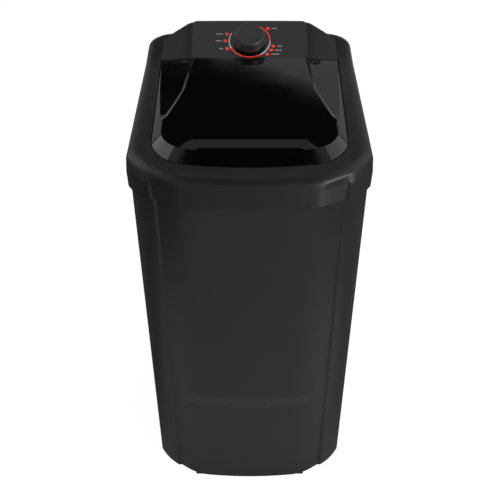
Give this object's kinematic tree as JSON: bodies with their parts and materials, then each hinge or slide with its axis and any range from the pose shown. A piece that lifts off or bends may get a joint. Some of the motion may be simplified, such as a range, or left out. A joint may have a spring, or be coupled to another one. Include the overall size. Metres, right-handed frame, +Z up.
{
  "type": "semi-automatic washing machine",
  "caption": "Tall square tub washing machine in black plastic with a hinged sloped lid, a rear control panel with a round timer knob and a belt-driven agitator.",
  "frame": {"origin": "on the floor at the middle of the plan", "axes": "+Z up, -Y to the front where the user stands, +X to the right"},
  "size_m": [0.53, 0.6, 1.0933],
  "materials": {
    "body_plastic": "moulded, fine texture",
    "lid_gloss": "moulded, polished",
    "panel_gloss": "moulded, polished",
    "knob_plastic": "moulded, satin",
    "print_white": "printed",
    "print_red": "printed",
    "plate_satin": "satin plate",
    "tub_plastic": "moulded",
    "agitator_plastic": "moulded",
    "inner_plastic": "moulded",
    "filter_net": "woven net",
    "rubber": "moulded",
    "cable": "extruded",
    "zinc_steel": "zinc plated",
    "cover_steel": "painted sheet",
    "stainless": "ground",
    "stator_steel": "stacked sheet",
    "winding": "enamelled copper wire",
    "cast_aluminium": "die cast",
    "housing_plastic": "moulded, glass filled",
    "bush_bronze": "sintered",
    "capacitor_case": "drawn can"
  },
  "bodies": {
    "machine": {"cabinet": "body_plastic", "badge_plate": "plate_satin", "base_cover": "inner_plastic", "base_screws": "zinc_steel", "rubber_feet": "rubber", "back_cover": "cover_steel", "back_cover_screws": "zinc_steel", "top_frame": "body_plastic", "frame_screws": "zinc_steel", "hinge_pins": "stainless", "lid_buffers": "rubber", "control_panel": "body_plastic", "panel_screws": "zinc_steel", "panel_fascia": "panel_gloss", "dial_ring_white": "print_white", "dial_ring_red": "print_red", "indicator_dots": "print_red", "dial_marks": "print_white", "timer": "inner_plastic", "timer_screws": "zinc_steel", "tub": "tub_plastic", "bearing_housing": "housing_plastic", "shaft_bushes": "bush_bronze", "shaft_seal": "rubber", "ring_nut": "inner_plastic", "drive_belt": "rubber", "motor_stator": "stator_steel", "motor_windings": "winding", "motor_lower_bell": "cast_aluminium", "motor_upper_bell": "cast_aluminium", "motor_bracket": "zinc_steel", "bracket_bolts": "zinc_steel", "motor_bolts": "zinc_steel", "motor_nuts": "zinc_steel", "motor_grommets": "rubber", "capacitor": "capacitor_case", "capacitor_clamp": "zinc_steel", "drain_hose": "rubber", "hose_clamps": "zinc_steel", "drain_outlet": "inner_plastic", "cord_gland": "inner_plastic", "water_inlet": "inner_plastic", "inlet_hose": "rubber", "inlet_nozzle": "inner_plastic", "wiring_lead": "cable", "wiring_clips": "inner_plastic", "filter_rail": "inner_plastic"},
    "lid": {"lid": "lid_gloss"},
    "knob": {"knob": "knob_plastic", "timer_shaft": "stainless"},
    "agitator": {"agitator": "agitator_plastic", "agitator_cap": "agitator_plastic", "agitator_screw": "stainless", "agitator_shaft": "stainless", "driven_pulley": "cast_aluminium", "pulley_nut": "zinc_steel"},
    "motor_rotor": {"motor_shaft": "stainless", "motor_pulley": "cast_aluminium"},
    "lint_filter": {"filter_frame": "inner_plastic", "filter_mesh": "filter_net"}
  },
  "joints": [
    {"name": "lid_hinge", "type": "hinge", "parent": "machine", "child": "lid", "pos_m": [0, 0.17801, 1.0129], "axis": [-1, 0, 0], "range_deg": [0, 103]},
    {"name": "knob_turn", "type": "hinge", "parent": "machine", "child": "knob", "pos_m": [0, 0.23802, 1.04683], "axis": [0, 0.5014, -0.8652], "range_deg": [0, 300]},
    {"name": "agitator_spin", "type": "hinge", "parent": "machine", "child": "agitator", "pos_m": [0, -0.03, 0.34], "axis": [0, 0, 1], "continuous": true},
    {"name": "motor_spin", "type": "hinge", "parent": "machine", "child": "motor_rotor", "pos_m": [0, 0.12, 0.24], "axis": [0, 0, 1], "continuous": true},
    {"name": "filter_lift", "type": "slide", "parent": "machine", "child": "lint_filter", "axis": [0, 0, 1], "range_m": [0, 0.12]}
  ],
  "couplings": [
    {"joint": "motor_spin", "follows": "agitator_spin", "ratio": 5.0376}
  ]
}
